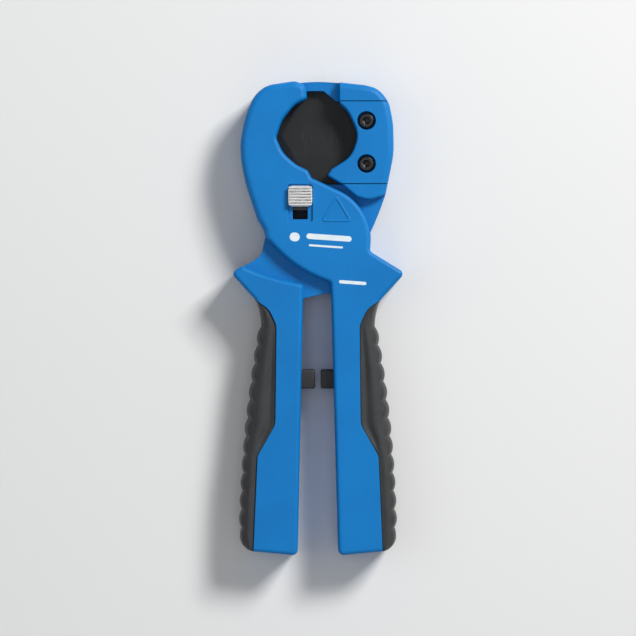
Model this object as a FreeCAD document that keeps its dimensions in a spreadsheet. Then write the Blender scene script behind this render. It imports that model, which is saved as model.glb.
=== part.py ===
"""One-hand cutter for plastic pipe, lying on its back with its jaws towards +Y.

Two levers cross at a pivot.  The hook lever is a pair of half shells that fork
round the blade lever; its upper end is the hook that holds the pipe and its lower
end is the right-hand handle.  The blade lever carries the blade in its jaw and is
the left-hand handle.  A thumb slide on the front shell locks the levers closed.

Units are millimetres.  X is across the tool, Y runs from the handle ends to the
jaws and Z is the thickness, with the rear faces on Z = 0.  The origin is the
middle of the tool's outline, on the surface that it lies on.
"""
import FreeCAD, Part

import math
import os

import Sketcher
from FreeCAD import Placement, Rotation, Vector

doc = FreeCAD.newDocument("pipe_cutter")

# ------------------------------------------------------------------ driving sizes

SIZES = [
    # whole tool
    ("thickness", 24.0, "handles and hook, front face to rear face"),
    ("mid_plane", 12.0, "height of the blade's middle and of the shells' joint"),
    ("pivot_y", 36.4, "pivot axis, from the middle of the outline"),
    ("back_round", 3.0, "rounding along the backs of hook and jaw"),
    ("edge_round", 1.8, "rounding of the other outer edges"),
    ("jaw_round", 1.0, "rounding of the jaw's inner edges"),
    ("wall", 2.8, "face thickness of the hollow handle"),
    # fork and hub
    ("hub_plate", 12.0, "thickness of the blade lever inside the fork"),
    ("hub_radius", 24.1, "blade lever's round hub"),
    ("disc_radius", 23.6, "round edge of the hook lever's cheeks"),
    ("fork_radius", 26.5, "free room round the hub inside the fork"),
    ("fork_gap", 12.4, "slot between the cheeks"),
    ("tongue", 10.0, "thickness of the blade lever's upper tongue"),
    ("tongue_gap", 10.4, "channel in the hook's tip for the tongue"),
    ("tongue_cove", 4.5, "hollow rounding where the tongue leaves the jaw"),
    ("slit", 2.2, "slit in the hook that the blade closes into"),
    # blade and its clamp
    ("jaw_step", 0.6, "jaw faces stand this much below the hook's faces"),
    ("blade_thick", 1.5, "blade"),
    ("bevel", 0.6, "depth of the blade's bevel on each face"),
    ("bevel_wide", 3.4, "width of that bevel"),
    ("clamp_low", 61.3, "lower edge of the clamp block"),
    ("clamp_top", 98.6, "upper edge of the clamp block"),
    ("seam", 0.4, "gap above and below the clamp block"),
    ("clamp_screw_x", 22.1, "both clamp screws, from the middle"),
    ("clamp_screw_top", 89.9, "upper clamp screw"),
    ("clamp_screw_low", 70.3, "lower clamp screw"),
    ("clamp_screw", 4.0, "thread of the clamp screws"),
    ("clamp_sink", 8.5, "counterbore for their heads"),
    ("clamp_sink_deep", 4.5, "depth of that counterbore"),
    ("clamp_nut", 7.0, "their nuts, across flats"),
    ("nut_floor", 5.4, "inner face of the nuts' pockets"),
    ("nut_high", 3.2, "height of the nuts"),
    # pivot
    ("pin", 8.0, "pivot pin"),
    ("pin_top", 21.0, "blind end of the pin"),
    ("bush", 11.0, "outside of the bush in the hub"),
    ("bush_bore", 8.1, "inside of the bush"),
    ("pivot_thread", 5.0, "screw into the end of the pin"),
    ("pivot_sink", 12.6, "counterbore for its washer and head"),
    ("pivot_sink_deep", 3.2, "depth of that counterbore"),
    ("pivot_washer", 0.8, "thickness of the washer"),
    # return spring
    ("spring_mean", 9.6, "mean radius of the coil"),
    ("spring_wire", 1.4, "wire"),
    ("spring_pitch", 1.6, "rise of the coil in one turn"),
    ("spring_turns", 2.25, "turns"),
    ("spring_low", 6.8, "start of the coil"),
    ("spring_leg_low", 3.0, "end of the leg in the rear cheek"),
    ("spring_leg_top", 13.4, "end of the leg in the hub"),
    ("spring_groove_top", 11.3, "top of the coil's groove"),
    # lock
    ("lock_x", -8.1, "middle of the lock slide"),
    ("button_wide", 10.9, "lock button across"),
    ("button_tall", 9.3, "lock button along its travel"),
    ("button_low", 50.8, "lower edge of the button when locked"),
    ("button_base", 23.05, "underside of the button"),
    ("button_top", 26.8, "top of its ridges"),
    ("ridge_pitch", 1.3, "ridges of the button"),
    ("ridge_groove", 0.5, "width of the grooves between them"),
    ("ridge_deep", 1.0, "depth of those grooves"),
    ("well_deep", 1.0, "shallow well round the slot"),
    ("slot_wide", 6.9, "slot in the front shell"),
    ("slot_low", 44.9, "lower end of the slot"),
    ("track_top", 20.2, "ceiling of the slide's track"),
    ("slide_low", 18.4, "underside of the slide"),
    ("slide_thick", 1.6, "slide"),
    ("lock_pocket_low", 14.0, "floor of the pocket for the lock pin"),
    ("triangle_proud", 0.25, "height of the raised triangle"),
    # handles and grips
    ("grip_sink", 0.4, "grip below the hard faces"),
    ("under_grip", 16.0, "thickness of the handle's core inside the grip"),
    ("bump_pitch", 8.35, "finger ribs of the grips"),
    ("bump_rise", 1.1, "height of each rib"),
    ("stop_y", -27.9, "middle of the rubber stops"),
    ("stop_high", 8.8, "stops, along the handle"),
    ("stop_low", 7.0, "underside of the stops"),
    ("stop_deep", 10.0, "stops, through the thickness"),
    ("stop_stem", 5.0, "stems of the stops"),
    # shell screws
    ("shell_screw", 3.0, "screws that join the half shells"),
    ("shell_sink", 6.2, "counterbores for their heads"),
    ("shell_sink_deep", 3.0, "depth of those counterbores"),
    ("boss", 7.2, "bosses for them inside the handle"),
    ("insert", 4.4, "outside of the threaded inserts"),
    ("insert_long", 6.2, "length of the inserts"),
]

dims = doc.addObject("Spreadsheet::Sheet", "dims")
for row, (name, value, note) in enumerate(SIZES, start=1):
    dims.set(f"A{row}", name)
    dims.set(f"B{row}", str(value))
    dims.set(f"C{row}", note)
    dims.setAlias(f"B{row}", name)
doc.recompute()


def size(name):
    """A driving size, read from the sheet."""
    return float(getattr(dims, name))


PIVOT = Vector(0, size("pivot_y"), 0)
MID = size("mid_plane")
TOP = size("thickness")
BLADE_LOW = "dims.mid_plane - dims.blade_thick / 2"
CLAMP_SEAT = "dims.thickness - dims.jaw_step - dims.clamp_sink_deep"
CLAMP_LOW = size("clamp_low")
CLAMP_TOP = size("clamp_top")


# ------------------------------------------------------------------ helpers


def xy(point, height=0.0):
    """An (x, y) pair as a point in space."""
    return Vector(point[0], point[1], height)


def polar(radius, degrees):
    """A point at this distance and direction from the pivot."""
    angle = math.radians(degrees)
    return (radius * math.cos(angle), PIVOT.y + radius * math.sin(angle))


def mirrored(corners):
    """The same corners on the other side of the tool's middle line."""
    return [(-x, y, radius) for x, y, radius in corners]


def outline(corners):
    """Lines and tangent arcs of a closed outline given as (x, y, corner radius)."""
    points = [xy(corner) for corner in corners]
    count = len(points)
    bends = []
    for index, (point, corner) in enumerate(zip(points, corners)):
        radius = corner[2]
        back = (points[index - 1] - point).normalize()
        ahead = (points[(index + 1) % count] - point).normalize()
        half = back.getAngle(ahead) / 2
        inwards = back + ahead
        if radius:
            inwards.normalize()
            centre = point + inwards * (radius / math.sin(half))
            reach = radius / math.tan(half)
            bends.append((point + back * reach, centre - inwards * radius, point + ahead * reach))
        else:
            bends.append((point, point, point))
    edges = []
    for index, (start, middle, end) in enumerate(bends):
        following = bends[(index + 1) % count][0]
        run = points[(index + 1) % count] - points[index]
        if (following - end).dot(run) < -1e-6:
            raise RuntimeError(f"corners {corners[index]} and the next one run into each other")
        if (end - start).Length > 1e-6:
            edges.append(Part.Arc(start, middle, end))
        if (following - end).Length > 1e-6:
            edges.append(Part.LineSegment(end, following))
    return edges


def path(steps, closed=True):
    """Lines and arcs of an outline given as steps.

    A step of one point is a straight line to it, and a step of two points is an arc
    through the first to the second.
    """
    edges = []
    last = steps[0][0]
    for step in steps[1:] + steps[:1] * closed:
        end = step[-1]
        if len(step) == 2:
            edges.append(Part.Arc(xy(last), xy(step[0]), xy(end)))
        elif (xy(end) - xy(last)).Length > 1e-6:
            edges.append(Part.LineSegment(xy(last), xy(end)))
        last = end
    return edges


def box_outline(left, right, low, high, radius=0.0):
    """A rectangle with round corners."""
    corners = [(left, low), (right, low), (right, high), (left, high)]
    return outline([(x, y, radius) for x, y in corners])


def hexagon(centre, flats):
    """A hexagon this wide across its flats."""
    reach = flats / math.sqrt(3)
    ring = [math.radians(60 * k) for k in range(6)]
    points = [(centre[0] + reach * math.cos(a), centre[1] + reach * math.sin(a)) for a in ring]
    return path([[point] for point in points])


def sector(inner, outer, first, last):
    """Part of a ring about the pivot, between two directions in degrees."""
    middle = (first + last) / 2
    return path(
        [
            [polar(outer, first)],
            [polar(outer, middle), polar(outer, last)],
            [polar(inner, last)],
            [polar(inner, middle), polar(inner, first)],
        ]
    )


def new_body(label):
    """An empty PartDesign body."""
    body = doc.addObject("PartDesign::Body", label)
    body.Label = label
    return body


def sketch(body, name, geometry, height="0", role="XY_Plane"):
    """A sketch on one of the body's own planes, offset by an expression."""
    made = body.newObject("Sketcher::SketchObject", f"{body.Label}_{name}")
    support = next(p for p in body.Origin.OriginFeatures if p.Role == role)
    made.AttachmentSupport = [(support, "")]
    made.MapMode = "FlatFace"
    made.setExpression("AttachmentOffset.Base.z", height)
    made.addGeometry(geometry, False)
    made.Visibility = False
    return made


def round_sketch(body, name, centres, diameter, height, role="XY_Plane"):
    """A sketch of equal circles whose radius is bound to an expression."""
    blank = [Part.Circle(xy(centre), Vector(0, 0, 1), 1.0) for centre in centres]
    made = sketch(body, name, blank, height, role)
    for index in range(len(centres)):
        made.addConstraint(Sketcher.Constraint("Radius", index, 1.0))
        made.setExpression(f"Constraints[{index}]", f"({diameter}) / 2")
    return made


def pad(body, profile, length, down=False):
    """A Pad of a sketch, along its normal unless told otherwise."""
    made = body.newObject("PartDesign::Pad", profile.Name + "_pad")
    made.Profile = profile
    made.setExpression("Length", length)
    made.Reversed = down
    doc.recompute()
    return made


def pocket(body, profile, length, down=False):
    """A Pocket of a sketch, along its normal unless told otherwise."""
    before = body.Shape.Volume
    made = body.newObject("PartDesign::Pocket", profile.Name + "_pocket")
    made.Profile = profile
    made.setExpression("Length", length)
    made.Reversed = not down
    doc.recompute()
    if body.Shape.Volume > before - 1e-3:
        raise RuntimeError(f"{made.Name} cuts nothing")
    return made


def dressed(body, kind, name, wanted, amount):
    """A Fillet or Chamfer on the edges whose middle points pass a test."""
    base = body.Tip
    names = []
    for index, edge in enumerate(base.Shape.Edges, start=1):
        middle = edge.valueAt((edge.FirstParameter + edge.LastParameter) / 2)
        if wanted(edge.BoundBox, middle):
            names.append(f"Edge{index}")
    if not names:
        raise RuntimeError(f"{name} finds no edge")
    made = body.newObject(f"PartDesign::{kind}", f"{body.Label}_{name}")
    made.Base = (base, names)
    made.Refine = False
    made.setExpression("Radius" if kind == "Fillet" else "Size", amount)
    doc.recompute()
    return made


def level(box, height):
    """True for an edge that lies flat at this height."""
    return abs(box.ZMin - height) < 1e-4 and abs(box.ZMax - height) < 1e-4


def near(edges, reach=0.05):
    """A test for points that lie over a run of plan edges."""
    shapes = [edge.toShape() for edge in edges]

    def test(point):
        flat = Part.Vertex(point.x, point.y, 0)
        return any(shape.distToShape(flat)[0] < reach for shape in shapes)

    return test


def turned(label, profile, place, socket=None):
    """A turned piece from its (radius, height) profile, with an optional hexagon socket.

    The socket is (across flats, lowest height, depth).
    """
    body = new_body(label)
    half = sketch(body, "profile", path([[point] for point in profile]), "0", "XZ_Plane")
    spin = body.newObject("PartDesign::Revolution", label + "_turned")
    spin.Profile = half
    spin.ReferenceAxis = (half, ["V_Axis"])
    spin.Angle = 360
    doc.recompute()
    if socket:
        flats, height, depth = socket
        key = sketch(body, "socket", hexagon((0, 0), flats), str(height))
        pocket(body, key, str(depth))
    body.Placement = Placement(Vector(place[0], place[1], 0), Rotation())
    return body


def group(label, pieces):
    """Several separate solids that share one node."""
    made = doc.addObject("Part::Compound", label)
    made.Label = label
    made.Links = pieces
    return made


# ------------------------------------------------------------------ outlines, in plan

# Corners are (x, y, corner radius).  The edge where the right-hand handle's soft grip
# meets its hard plastic, from the top down.
GRIP_EDGE = [
    (28.6, 8.3, 0),
    (22.3, 4.0, 9),
    (18.9, -3.2, 9),
    (19.4, -48.6, 8),
    (27.5, -62.8, 5),
    (29.4, -106.4, 0),
]

# The whole right-hand handle with its grip, from the flare above it to the inner side.
HANDLE = [
    (39.7, 20.5, 2.2),
    (28.6, 8.3, 0.8),
    (26.2, 1.2, 12),
    (32.9, -52.0, 150),
    (35.9, -84.0, 60),
    (36.0, -105.8, 5),
    (9.3, -108.2, 2.4),
]
HOOK_INNER_TOP = (6.1, 8.0, 30)
ARM_INNER_TOP = (-6.7, 15.3, 1.8)
GRIP_REGION = GRIP_EDGE + [(29.4, -130.0, 0), (60.0, -130.0, 0), (60.0, 8.3, 0)]

# The hook's inner side: two hollows that meet in a notch, then the lip below them.
HOOK_RECESS = [
    (-4.9, 99.9, 0),
    (-10.6, 97.5, 12),
    (-16.7, 89.9, 15),
    (-19.1, 82.3, 3),
    (-16.0, 75.1, 14),
    (-10.0, 69.8, 14),
    (-4.7, 67.3, 1.6),
    (-2.9, 63.8, 1.4),
]

# Outer side of the hook, from beside the hub over the top to the tip.
HOOK_BACK = [
    (-24.3, 37.3, 0),
    (-24.8, 40.0, 3),
    (-27.6, 44.6, 9),
    (-33.6, 62.6, 80),
    (-35.9, 76.9, 40),
    (-33.7, 90.5, 45),
    (-29.2, 101.6, 15),
    (-23.4, 106.1, 12),
    (-10.6, 108.0, 4),
    (-5.6, 106.2, 3.6),
]

DISC = size("disc_radius")
HOOK_OUTLINE = (
    HOOK_RECESS
    + [(DISC, 51.44, DISC), (DISC, 30.4, 3)]
    + HANDLE
    + [HOOK_INNER_TOP, (5.6, 16.2, 1.5), (-10.3, 22.6, 53)]
    + HOOK_BACK
)

# The blade lever's jaw: its side of the pipe opening, its lower edge, then its back.
JAW_RECESS = [
    (10.0, 97.6, 0),
    (13.6, 94.6, 14),
    (18.6, 83.6, 11),
    (15.1, 73.4, 12),
    (6.2, 67.8, 1.5),
    (4.2, 64.9, 0.8),
]
JAW_BACK = [
    (30.8, 56.2, 0),
    (34.6, 74.9, 40),
    (34.3, 89.0, 40),
    (32.3, 98.5, 10),
    (27.6, 104.6, 10),
    (21.5, 106.2, 10),
    (10.0, 107.5, 0),
]
JAW_OUTLINE = JAW_RECESS + [(10.9, 60.9, 1.4), (17.6, 55.3, 4), (23.5, 53.6, 8)] + JAW_BACK

BLADE_HANDLE_OUTLINE = (
    mirrored(HANDLE)
    + [ARM_INNER_TOP, (-17.5, 17.6, 30), (-26.6, 20.2, 40), (-34.6, 23.7, 1.5)]
)

HUB = size("hub_radius")
NECK = [
    [(-36.0, 22.3)],
    [(-27.6, 27.4)],
    [(-26.2, 28.8), (-25.5, 30.6)],
    [(-HUB, 37.0)],
    [(0.0, 37.0)],
    [polar(HUB, -4)],
    [polar(25.1, -38), polar(25.7, -74)],
    [(1.0, 10.7), (-7.0, 8.8)],
    [(-14.0, 6.0)],
    [(-28.0, 14.0)],
]
JAW_ROOT = [
    [(0.0, 37.0)],
    [(24.2, 39.5)],
    [(27.0, 46.0), (30.8, 56.2)],
    [(28.0, 66.0)],
    [(14.0, 66.0)],
    [(5.4, 63.6)],
    [(2.6, 60.0)],
]

# The tongue at the top of the jaw, which closes into the hook's tip.
TONGUE_TOP, TONGUE_LOW = 71.5, 67.4
TONGUE = [
    [polar(TONGUE_TOP, 100.4)],
    [polar(TONGUE_TOP, 91), polar(TONGUE_TOP, 81.9)],
    [(13.0, 106.4)],
    [(13.0, 96.2)],
    [(10.0, 97.6)],
    [(2.6, 103.7)],
    [polar(TONGUE_LOW, 94.4), polar(TONGUE_LOW, 99.8)],
    [polar(69.4, 101.4), polar(TONGUE_TOP, 100.4)],
]

# Hard core of the right-hand handle inside its grip, and the hollow in the shells.
UNDER_GRIP = [
    (14.0, -2.0, 0),
    (22.3, -2.0, 1),
    (27.9, -34.0, 80),
    (31.6, -80.0, 80),
    (32.0, -103.0, 5),
    (14.0, -103.0, 0),
]
HOLLOW = [
    (9.4, -1.0, 1.5),
    (10.8, -51.0, 0),
    (12.1, -104.6, 2),
    (26.6, -103.4, 2),
    (24.9, -65.0, 5),
    (16.5, -49.8, 5),
    (16.0, -1.0, 1.5),
]

# Room in the hook lever for the blade lever's neck and jaw when the tool is open.
NECK_ROOM = [[(-18.0, 52.0)], [(-24.0, 51.6)], [(-37.0, 55.8)], [(-37.0, 32.0)], [(-20.0, 26.0)]]
JAW_ROOM = [[(16.0, 20.6)], [(24.8, 22.0)], [(37.0, 26.6)], [(37.0, 33.0)], [(22.0, 45.0)]]
SLIT = [[(-10.5, 60.0)], [(-23.2, 84.0)], [(-12.5, 104.5)], [(-2.0, 104.5)], [(10.0, 80.0)], [(2.0, 60.0)]]

# The blade: its two cutting edges meet in a point, and its tang is square.
BLADE_EDGE = [[(-9.0, 104.4)], [(-20.5, 83.7)], [(-7.4, 61.4)]]
BLADE = BLADE_EDGE + [[(29.6, 61.4)], [(29.6, 98.5)], [(15.6, 98.5)], [(12.9, 104.4)]]
BLADE_SLIT = [[(-18.0, 60.9)], [(-18.0, 104.8)], [(13.5, 104.8)], [(16.5, 98.0)], [(16.5, 60.9)]]

SHELL_SCREWS = [(-29.4, 62.0), (-29.4, 88.0), (13.4, 5.6), (13.6, -44.0), (18.6, -98.0)]
CLAMP_SCREWS = [
    (size("clamp_screw_x"), size("clamp_screw_top")),
    (size("clamp_screw_x"), size("clamp_screw_low")),
]
LOCK_X = size("lock_x")
BUTTON_LOW = size("button_low")
LOCK_PIN = (LOCK_X, BUTTON_LOW + 1.4)
LOCK_SCREW = (LOCK_X, BUTTON_LOW + 5.6)
SPRING_CHEEK_LEG = polar(size("spring_mean"), 250)
SPRING_HUB_LEG = polar(size("spring_mean"), 340)


# ------------------------------------------------------------------ hook lever


def on_back(middle):
    """True along the hook's outer side, from beside the hub to the tip."""
    return middle.x < -24.31 or middle.y > 100


def stop_hole(body, start, depth, leftwards=False):
    """A blind hole across a handle for the stem of its rubber stop."""
    centre = [(size("stop_y"), MID)]
    pocket(body, round_sketch(body, "stop_hole", centre, "dims.stop_stem", start, "YZ_Plane"), depth, leftwards)


def half_shell(label, front):
    """One half of the hook lever, built from the joint face outwards."""
    body = new_body(label)
    down = not front
    face = TOP if front else 0.0
    joint = "dims.mid_plane"

    def cut(name, geometry, depth):
        pocket(body, sketch(body, name, geometry, joint), depth, down)

    pad(body, sketch(body, "plan", outline(HOOK_OUTLINE), joint), "dims.mid_plane", down)
    dressed(
        body,
        "Fillet",
        "back_round",
        lambda box, middle: level(box, face) and on_back(middle),
        "dims.back_round",
    )
    on_plan = near(outline(HOOK_OUTLINE))
    dressed(
        body,
        "Fillet",
        "edge_round",
        lambda box, middle: level(box, face) and on_plan(middle),
        "dims.edge_round",
    )
    pocket(body, sketch(body, "grip_region", outline(GRIP_REGION), joint), "dims.thickness", down)
    core = sketch(body, "grip_core", outline(UNDER_GRIP), joint)
    pad(body, core, "dims.under_grip / 2", down)

    # Room for the blade lever's hub and for the arms that swing on it.
    room = "dims.fork_gap / 2"
    hub_room = [Part.Circle(PIVOT, Vector(0, 0, 1), size("fork_radius"))]
    cut("hub_room", hub_room, room)
    cut("neck_room", path(NECK_ROOM), room)
    cut("jaw_room", path(JAW_ROOM), room)
    cut("blade_slit", path(SLIT), "dims.slit / 2")
    cut("tip_channel", sector(TONGUE_LOW - 0.4, TONGUE_TOP + 2, 87, 103.4), "dims.tongue_gap / 2")
    cut("hollow", outline(HOLLOW), "dims.mid_plane - dims.wall")
    bosses = round_sketch(body, "bosses", SHELL_SCREWS[3:], "dims.boss", joint)
    pad(body, bosses, "dims.mid_plane - dims.wall / 2", down)
    stop_hole(body, "6.0", "5.0")
    return body


def front_shell():
    """The half with the lock slide; its pivot boss is blind."""
    body = half_shell("hook_shell_front", True)
    joint = "dims.mid_plane"
    holes = round_sketch(body, "insert_holes", SHELL_SCREWS, "dims.insert", joint)
    pocket(body, holes, "dims.insert_long")
    pin = round_sketch(body, "pin_socket", [(PIVOT.x, PIVOT.y)], "dims.pin", joint)
    pocket(body, pin, "dims.pin_top - dims.mid_plane")

    well = box_outline(LOCK_X - 5.7, LOCK_X + 5.7, 43.7, 61.0, 1.2)
    pocket(body, sketch(body, "well", well, "dims.thickness - dims.well_deep"), "dims.well_deep + 1")
    half = size("slot_wide") / 2
    slot = box_outline(LOCK_X - half, LOCK_X + half, size("slot_low"), 58.3, 0.6)
    pocket(body, sketch(body, "slot", slot, joint), "dims.thickness")
    track = box_outline(LOCK_X - 5.4, LOCK_X + 5.4, 42.8, 59.1, 0.8)
    pocket(body, sketch(body, "track", track, joint), "dims.track_top - dims.mid_plane")
    nest = box_outline(LOCK_X + 5.0, LOCK_X + 7.3, 45.8, 57.2, 0.4)
    pocket(body, sketch(body, "spring_nest", nest, joint), "dims.track_top - dims.mid_plane")

    # A plain raised triangle decorates the cheek.
    outer = outline([(8.3, 56.2, 1.0), (1.4, 43.9, 1.0), (15.4, 43.9, 1.0)])
    inner = outline([(8.3, 54.4, 0.6), (2.7, 44.7, 0.6), (14.1, 44.7, 0.6)])
    mark = sketch(body, "triangle", outer + inner, "dims.thickness - 0.5")
    pad(body, mark, "dims.triangle_proud + 0.5")
    return body


def rear_shell():
    """The half that the screws enter from."""
    body = half_shell("hook_shell_rear", False)
    joint = "dims.mid_plane"
    holes = round_sketch(body, "screw_holes", SHELL_SCREWS, "dims.shell_screw + 0.2", joint)
    pocket(body, holes, "dims.mid_plane + 1", True)
    sinks = round_sketch(body, "screw_sinks", SHELL_SCREWS, "dims.shell_sink", "dims.shell_sink_deep")
    pocket(body, sinks, "dims.shell_sink_deep + 1", True)
    pivot = [(PIVOT.x, PIVOT.y)]
    pin = round_sketch(body, "pin_hole", pivot, "dims.pin", joint)
    pocket(body, pin, "dims.mid_plane + 1", True)
    sink = round_sketch(body, "pin_sink", pivot, "dims.pivot_sink", "dims.pivot_sink_deep")
    pocket(body, sink, "dims.pivot_sink_deep + 1", True)
    leg = round_sketch(body, "spring_leg", [SPRING_CHEEK_LEG], "dims.spring_wire + 0.2", joint)
    pocket(body, leg, "dims.mid_plane - dims.spring_leg_low + 0.2", True)
    return body


# ------------------------------------------------------------------ blade lever


def blade_lever():
    """Hub, neck, jaw, tongue and left-hand handle, moulded in one."""
    body = new_body("blade_lever")
    low = "dims.mid_plane - dims.hub_plate / 2"
    hub = round_sketch(body, "hub", [(PIVOT.x, PIVOT.y)], "2 * dims.hub_radius", low)
    pad(body, hub, "dims.hub_plate")
    pad(body, sketch(body, "neck", path(NECK), low), "dims.hub_plate")
    pad(body, sketch(body, "jaw_root", path(JAW_ROOT), low), "dims.hub_plate")

    pad(body, sketch(body, "jaw", outline(JAW_OUTLINE), "dims.jaw_step"), "dims.thickness - 2 * dims.jaw_step")
    round_jaw(body, size("jaw_step"))
    round_jaw(body, TOP - size("jaw_step"))

    tongue = sketch(body, "tongue", path(TONGUE), "dims.mid_plane - dims.tongue / 2")
    pad(body, tongue, "dims.tongue")
    tongue_faces = [MID - size("tongue") / 2, MID + size("tongue") / 2]
    jaw_wall = JAW_RECESS[0][0]
    dressed(
        body,
        "Fillet",
        "tongue_cove",
        lambda box, middle: abs(middle.x - jaw_wall) < 0.01 and any(level(box, z) for z in tongue_faces),
        "dims.tongue_cove",
    )

    pad(body, sketch(body, "handle", outline(BLADE_HANDLE_OUTLINE), "0"), "dims.thickness")
    on_plan = near(outline(BLADE_HANDLE_OUTLINE))
    for name, face in (("handle_back_round", 0.0), ("handle_front_round", TOP)):
        dressed(
            body,
            "Fillet",
            name,
            lambda box, middle: level(box, face) and on_plan(middle),
            "dims.edge_round",
        )
    region = sketch(body, "grip_region", outline(mirrored(GRIP_REGION)), "0")
    pocket(body, region, "dims.thickness")
    core = sketch(body, "grip_core", outline(mirrored(UNDER_GRIP)), "dims.mid_plane - dims.under_grip / 2")
    pad(body, core, "dims.under_grip")

    # Seat for the blade and its clamp, open to the front and to the jaw's back.
    seat = box_outline(-2.0, 45.0, CLAMP_LOW - size("seam"), CLAMP_TOP + size("seam"))
    pocket(body, sketch(body, "clamp_seat", seat, BLADE_LOW), "dims.thickness")
    slit = sketch(body, "blade_slit", path(BLADE_SLIT), BLADE_LOW)
    pocket(body, slit, "dims.blade_thick")
    shanks = round_sketch(body, "screw_holes", CLAMP_SCREWS, "dims.clamp_screw + 0.2", "dims.mid_plane")
    pocket(body, shanks, "dims.thickness", True)
    for number, centre in enumerate(CLAMP_SCREWS, start=1):
        nut = sketch(body, f"nut_pocket_{number}", hexagon(centre, size("clamp_nut")), "dims.nut_floor")
        pocket(body, nut, "dims.thickness", True)

    bore = round_sketch(body, "bush_bore", [(PIVOT.x, PIVOT.y)], "dims.bush", "0")
    pocket(body, bore, "dims.thickness")
    ring = [
        Part.Circle(PIVOT, Vector(0, 0, 1), size("spring_mean") + 2.0),
        Part.Circle(PIVOT, Vector(0, 0, 1), size("spring_mean") - 2.0),
    ]
    pocket(body, sketch(body, "spring_groove", ring, "0"), "dims.spring_groove_top")
    leg = round_sketch(body, "spring_leg", [SPRING_HUB_LEG], "dims.spring_wire + 0.2", "0")
    pocket(body, leg, "dims.spring_leg_top + 0.2")
    # The lock pin's pocket is a sector, so that the lever can swing past the pin.
    room = sector(9.7, 20.6, 105.5, 191.5)
    pocket(body, sketch(body, "lock_pocket", room, "dims.lock_pocket_low"), "dims.thickness")
    stop_hole(body, "-6.0", "5.5", True)
    return body


def round_jaw(body, face):
    """Round one face of the jaw: broadly along its back, lightly elsewhere."""
    on_jaw_back = near(outline(JAW_OUTLINE), 0.05)
    side = "front" if face > MID else "rear"

    def outside(middle):
        return middle.x > 30.7 or middle.y > 98 and middle.x > 10.01

    dressed(
        body,
        "Fillet",
        f"jaw_back_{side}",
        lambda box, middle: level(box, face) and outside(middle),
        "dims.back_round",
    )
    dressed(
        body,
        "Fillet",
        f"jaw_edge_{side}",
        lambda box, middle: level(box, face) and on_jaw_back(middle) and middle.x != 10.0,
        "dims.jaw_round",
    )


def blade_clamp():
    """The block that holds the blade down; its outside carries on the jaw's shape."""
    body = new_body("blade_clamp")
    low = "dims.mid_plane + dims.blade_thick / 2"
    whole = sketch(body, "plan", outline(JAW_OUTLINE), low)
    pad(body, whole, "dims.thickness - dims.jaw_step - dims.mid_plane - dims.blade_thick / 2")
    round_jaw(body, TOP - size("jaw_step"))
    over = box_outline(-5.0, 45.0, CLAMP_TOP, 120.0)
    pocket(body, sketch(body, "above", over, "0"), "2 * dims.thickness")
    under = box_outline(-5.0, 45.0, 40.0, CLAMP_LOW)
    pocket(body, sketch(body, "below", under, "0"), "2 * dims.thickness")
    shanks = round_sketch(body, "screw_holes", CLAMP_SCREWS, "dims.clamp_screw + 0.2", "0")
    pocket(body, shanks, "2 * dims.thickness")
    sinks = round_sketch(body, "screw_sinks", CLAMP_SCREWS, "dims.clamp_sink", CLAMP_SEAT)
    pocket(body, sinks, "dims.thickness")
    return body


def blade():
    """Flat blade with a pointed cutting end, bevelled along its two edges."""
    body = new_body("blade")
    pad(body, sketch(body, "plan", path(BLADE), BLADE_LOW), "dims.blade_thick")
    cutting = near(path(BLADE_EDGE, closed=False))
    bevel = dressed(
        body,
        "Chamfer",
        "bevel",
        lambda box, middle: box.ZLength < 1e-4 and cutting(middle),
        "dims.bevel",
    )
    bevel.ChamferType = "Two distances"
    bevel.setExpression("Size2", "dims.bevel_wide")
    doc.recompute()
    shanks = round_sketch(body, "screw_holes", CLAMP_SCREWS, "dims.clamp_screw + 0.2", "0")
    pocket(body, shanks, "dims.thickness")
    return body


# ------------------------------------------------------------------ soft parts


def grip(label, side):
    """A handle's soft cover; side is +1 on the right and -1 on the left."""
    body = new_body(label)
    seam = GRIP_EDGE if side > 0 else mirrored(GRIP_EDGE)
    core = UNDER_GRIP if side > 0 else mirrored(UNDER_GRIP)
    outside = [[(side * x, y) for x, y in step] for step in rib_steps()]
    plan = outline(seam)[:-1] + path(outside, closed=False)
    pad(body, sketch(body, "plan", plan, "dims.grip_sink"), "dims.thickness - 2 * dims.grip_sink")
    room = sketch(body, "core_room", outline(core), "dims.mid_plane - dims.under_grip / 2")
    pocket(body, room, "dims.under_grip")
    return body


def rib_steps():
    """The right-hand grip's outside, from its lower end up: a corner, then finger ribs."""
    ribs = 11
    top = -3.9
    rise = size("bump_rise")

    def valley(index):
        down = index / ribs
        return (26.0 + 16.5 * down - 7.4 * down**2, top - size("bump_pitch") * index)

    foot, head = GRIP_EDGE[-1][:2], GRIP_EDGE[0][:2]
    steps = [[foot], [(34.0, -104.4), (35.8, -99.8)], [valley(ribs)]]
    for index in range(ribs, 0, -1):
        low, high = valley(index), valley(index - 1)
        steps.append([((low[0] + high[0]) / 2 + rise, (low[1] + high[1]) / 2), high])
    steps.append([(26.7, 2.8), head])
    return steps


def inner_side(corners, height):
    """Where the straight inner side of a handle lies at this Y, from its two corners."""
    (low_x, low_y, _), (top_x, top_y, _) = corners
    return low_x + (top_x - low_x) * (height - low_y) / (top_y - low_y)


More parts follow.
